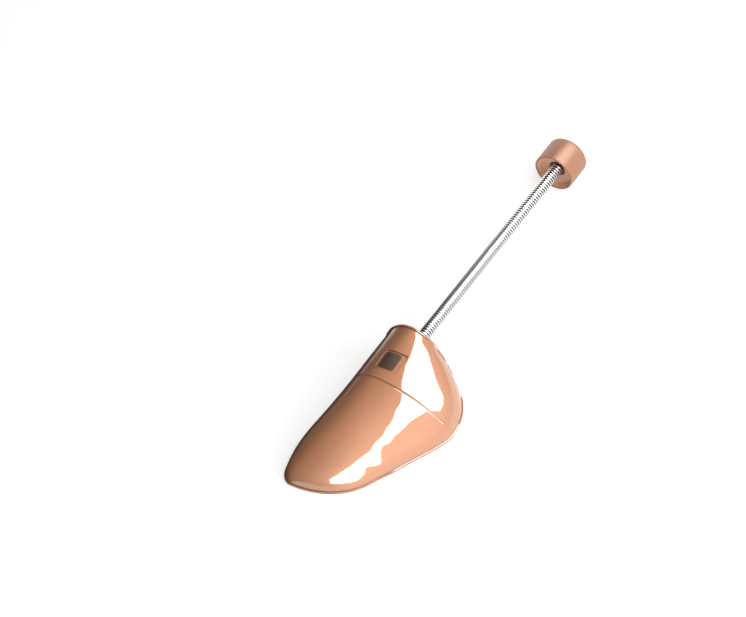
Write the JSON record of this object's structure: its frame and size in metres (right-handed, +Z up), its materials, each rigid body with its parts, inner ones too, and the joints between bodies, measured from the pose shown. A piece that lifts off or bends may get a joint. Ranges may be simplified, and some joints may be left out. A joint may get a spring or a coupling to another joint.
{
  "type": "shoe stretcher",
  "caption": "Spiral shoe stretcher: foot-shaped hollow toe piece, close-coiled steel spring that bends into an arch, and a round heel cup that turns on the spring's end.",
  "frame": {"origin": "on the floor, in the middle of the overall length and width", "axes": "+X along the spring from the toe piece to the heel cup, +Y to the inner side of the foot, +Z up"},
  "size_m": [0.3194, 0.0842, 0.0314],
  "materials": {
    "toe_plastic": "metallic copper lacquer, glossy",
    "cup_plastic": "metallic copper lacquer, satin",
    "clamp_plastic": "moulded",
    "plug_plastic": "moulded",
    "screw_steel": "zinc plated",
    "spring_steel": "bright nickel plated wire"
  },
  "bodies": {
    "toe": {"toe_shell": "toe_plastic", "spring_clamp": "clamp_plastic", "clamp_screw_inner": "screw_steel", "clamp_screw_outer": "screw_steel", "front_plug": "plug_plastic", "spring_coil_01": "spring_steel"},
    "stretch_01": {"spring_coil_02": "spring_steel"},
    "stretch_02": {"spring_coil_03": "spring_steel"},
    "stretch_03": {"spring_coil_04": "spring_steel"},
    "stretch_04": {"spring_coil_05": "spring_steel"},
    "stretch_05": {"spring_coil_06": "spring_steel"},
    "stretch_06": {"spring_coil_07": "spring_steel"},
    "stretch_07": {"spring_coil_08": "spring_steel"},
    "stretch_08": {"spring_coil_09": "spring_steel"},
    "stretch_09": {"spring_coil_10": "spring_steel"},
    "stretch_10": {"spring_coil_11": "spring_steel"},
    "spring_end": {"spring_coil_12": "spring_steel", "rear_plug": "plug_plastic"},
    "heel": {"heel_ring": "cup_plastic", "heel_cup": "cup_plastic"}
  },
  "joints": [
    {"name": "bend_01", "type": "hinge", "parent": "toe", "child": "stretch_01", "pos_m": [-0.03118, 0.01287, 0.01085], "axis": [0, 1, 0], "range_deg": [0, 14], "stiffness_Nm_per_rad": 1.1, "springref_deg": -4.58},
    {"name": "bend_02", "type": "hinge", "parent": "stretch_01", "child": "stretch_02", "pos_m": [-0.01578, 0.01287, 0.01085], "axis": [0, 1, 0], "range_deg": [0, 14], "stiffness_Nm_per_rad": 1.1, "springref_deg": -4.58},
    {"name": "bend_03", "type": "hinge", "parent": "stretch_02", "child": "stretch_03", "pos_m": [-0.00038, 0.01287, 0.01085], "axis": [0, 1, 0], "range_deg": [0, 14], "stiffness_Nm_per_rad": 1.1, "springref_deg": -4.58},
    {"name": "bend_04", "type": "hinge", "parent": "stretch_03", "child": "stretch_04", "pos_m": [0.01502, 0.01287, 0.01085], "axis": [0, 1, 0], "range_deg": [0, 14], "stiffness_Nm_per_rad": 1.1, "springref_deg": -4.58},
    {"name": "bend_05", "type": "hinge", "parent": "stretch_04", "child": "stretch_05", "pos_m": [0.03042, 0.01287, 0.01085], "axis": [0, 1, 0], "range_deg": [0, 14], "stiffness_Nm_per_rad": 1.1, "springref_deg": -4.58},
    {"name": "bend_06", "type": "hinge", "parent": "stretch_05", "child": "stretch_06", "pos_m": [0.04582, 0.01287, 0.01085], "axis": [0, 1, 0], "range_deg": [0, 14], "stiffness_Nm_per_rad": 1.1, "springref_deg": -4.58},
    {"name": "bend_07", "type": "hinge", "parent": "stretch_06", "child": "stretch_07", "pos_m": [0.06122, 0.01287, 0.01085], "axis": [0, 1, 0], "range_deg": [0, 14], "stiffness_Nm_per_rad": 1.1, "springref_deg": -4.58},
    {"name": "bend_08", "type": "hinge", "parent": "stretch_07", "child": "stretch_08", "pos_m": [0.07662, 0.01287, 0.01085], "axis": [0, 1, 0], "range_deg": [0, 14], "stiffness_Nm_per_rad": 1.1, "springref_deg": -4.58},
    {"name": "bend_09", "type": "hinge", "parent": "stretch_08", "child": "stretch_09", "pos_m": [0.09202, 0.01287, 0.01085], "axis": [0, 1, 0], "range_deg": [0, 14], "stiffness_Nm_per_rad": 1.1, "springref_deg": -4.58},
    {"name": "bend_10", "type": "hinge", "parent": "stretch_09", "child": "stretch_10", "pos_m": [0.10742, 0.01287, 0.01085], "axis": [0, 1, 0], "range_deg": [0, 14], "stiffness_Nm_per_rad": 1.1, "springref_deg": -4.58},
    {"name": "bend_11", "type": "hinge", "parent": "stretch_10", "child": "spring_end", "pos_m": [0.12282, 0.01287, 0.01085], "axis": [0, 1, 0], "range_deg": [0, 14], "stiffness_Nm_per_rad": 1.1, "springref_deg": -4.58},
    {"name": "heel_turn", "type": "hinge", "parent": "spring_end", "child": "heel", "pos_m": [0.14572, 0.01287, 0.014], "axis": [1, 0, 0], "continuous": true}
  ],
  "couplings": [
    {"joint": "bend_02", "follows": "bend_01", "ratio": 1},
    {"joint": "bend_03", "follows": "bend_01", "ratio": 1},
    {"joint": "bend_04", "follows": "bend_01", "ratio": 1},
    {"joint": "bend_05", "follows": "bend_01", "ratio": 1},
    {"joint": "bend_06", "follows": "bend_01", "ratio": 1},
    {"joint": "bend_07", "follows": "bend_01", "ratio": 1},
    {"joint": "bend_08", "follows": "bend_01", "ratio": 1},
    {"joint": "bend_09", "follows": "bend_01", "ratio": 1},
    {"joint": "bend_10", "follows": "bend_01", "ratio": 1},
    {"joint": "bend_11", "follows": "bend_01", "ratio": 1}
  ]
}
